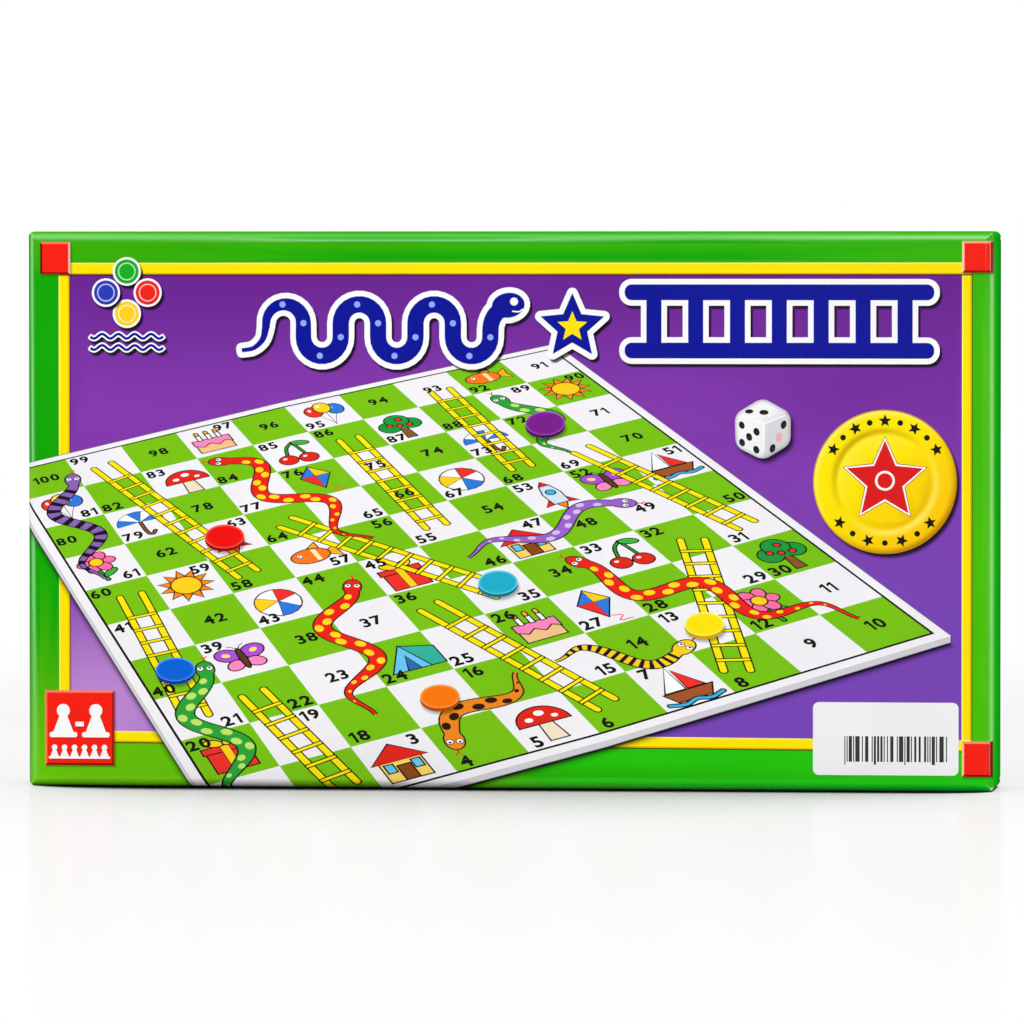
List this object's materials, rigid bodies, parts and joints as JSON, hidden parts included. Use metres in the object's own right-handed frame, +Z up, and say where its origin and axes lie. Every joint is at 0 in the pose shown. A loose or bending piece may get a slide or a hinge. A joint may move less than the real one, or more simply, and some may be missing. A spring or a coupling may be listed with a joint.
{
  "type": "boxed snakes and ladders board game",
  "caption": "Flat lift-off game box that holds a folding playing board, round counters and a die in a formed tray.",
  "frame": {"origin": "middle of the face that the closed box stands on, its lower long edge", "axes": "+X along the long edge, +Y from the printed front to the back, +Z up"},
  "size_m": [0.335, 0.0361, 0.192],
  "materials": {
    "printed_lid_board": "gloss",
    "base_board": "gloss",
    "label_paper": "satin",
    "tray_film": "satin",
    "grey_board": "matte",
    "lining_paper": "matte",
    "playing_print": "gloss",
    "red_plastic": "gloss",
    "yellow_plastic": "gloss",
    "blue_plastic": "gloss",
    "orange_plastic": "gloss",
    "light_blue_plastic": "gloss",
    "purple_plastic": "gloss",
    "die_plastic": "gloss"
  },
  "bodies": {
    "base": {"base_shell": "base_board"},
    "lid": {"lid_shell": "printed_lid_board", "price_label": "label_paper"},
    "tray": {"insert_tray": "tray_film"},
    "board_rear": {"board_rear_core": "grey_board", "board_rear_lining": "lining_paper", "playing_sheet_rear": "playing_print"},
    "board_front": {"board_front_core": "grey_board", "board_front_lining": "lining_paper", "playing_sheet_front": "playing_print"},
    "red": {"counter_red": "red_plastic"},
    "yellow": {"counter_yellow": "yellow_plastic"},
    "blue": {"counter_blue": "blue_plastic"},
    "orange": {"counter_orange": "orange_plastic"},
    "light_blue": {"counter_light_blue": "light_blue_plastic"},
    "purple": {"counter_purple": "purple_plastic"},
    "number_die": {"die": "die_plastic"}
  },
  "joints": [
    {"name": "lid_lift", "type": "slide", "parent": "base", "child": "lid", "axis": [0, -1, 0], "range_m": [0, 0.6]},
    {"name": "tray_lift", "type": "slide", "parent": "base", "child": "tray", "axis": [0, -1, 0], "range_m": [0, 0.06]},
    {"name": "board_lift", "type": "slide", "parent": "tray", "child": "board_rear", "axis": [0, -1, 0], "range_m": [0, 0.05]},
    {"name": "board_unfold", "type": "hinge", "parent": "board_rear", "child": "board_front", "pos_m": [0, -0.0119, 0.18254], "axis": [-1, 0, 0], "range_deg": [0, 180]},
    {"name": "red_lift", "type": "slide", "parent": "tray", "child": "red", "axis": [0, -1, 0], "range_m": [0, 0.04]},
    {"name": "yellow_lift", "type": "slide", "parent": "tray", "child": "yellow", "axis": [0, -1, 0], "range_m": [0, 0.04]},
    {"name": "blue_lift", "type": "slide", "parent": "tray", "child": "blue", "axis": [0, -1, 0], "range_m": [0, 0.04]},
    {"name": "orange_lift", "type": "slide", "parent": "tray", "child": "orange", "axis": [0, -1, 0], "range_m": [0, 0.04]},
    {"name": "light_blue_lift", "type": "slide", "parent": "tray", "child": "light_blue", "axis": [0, -1, 0], "range_m": [0, 0.04]},
    {"name": "purple_lift", "type": "slide", "parent": "tray", "child": "purple", "axis": [0, -1, 0], "range_m": [0, 0.04]},
    {"name": "die_lift", "type": "slide", "parent": "tray", "child": "number_die", "axis": [0, -1, 0], "range_m": [0, 0.04]}
  ],
  "couplings": [
    {"joint": "tray_lift", "follows": "lid_lift", "ratio": 0.1},
    {"joint": "board_lift", "follows": "lid_lift", "ratio": 0.083333},
    {"joint": "board_unfold", "follows": "lid_lift", "rad_per_m": 5.236},
    {"joint": "red_lift", "follows": "lid_lift", "ratio": 0.066666},
    {"joint": "yellow_lift", "follows": "lid_lift", "ratio": 0.066666},
    {"joint": "blue_lift", "follows": "lid_lift", "ratio": 0.066666},
    {"joint": "orange_lift", "follows": "lid_lift", "ratio": 0.066666},
    {"joint": "light_blue_lift", "follows": "lid_lift", "ratio": 0.066666},
    {"joint": "purple_lift", "follows": "lid_lift", "ratio": 0.066666},
    {"joint": "die_lift", "follows": "lid_lift", "ratio": 0.066666}
  ]
}
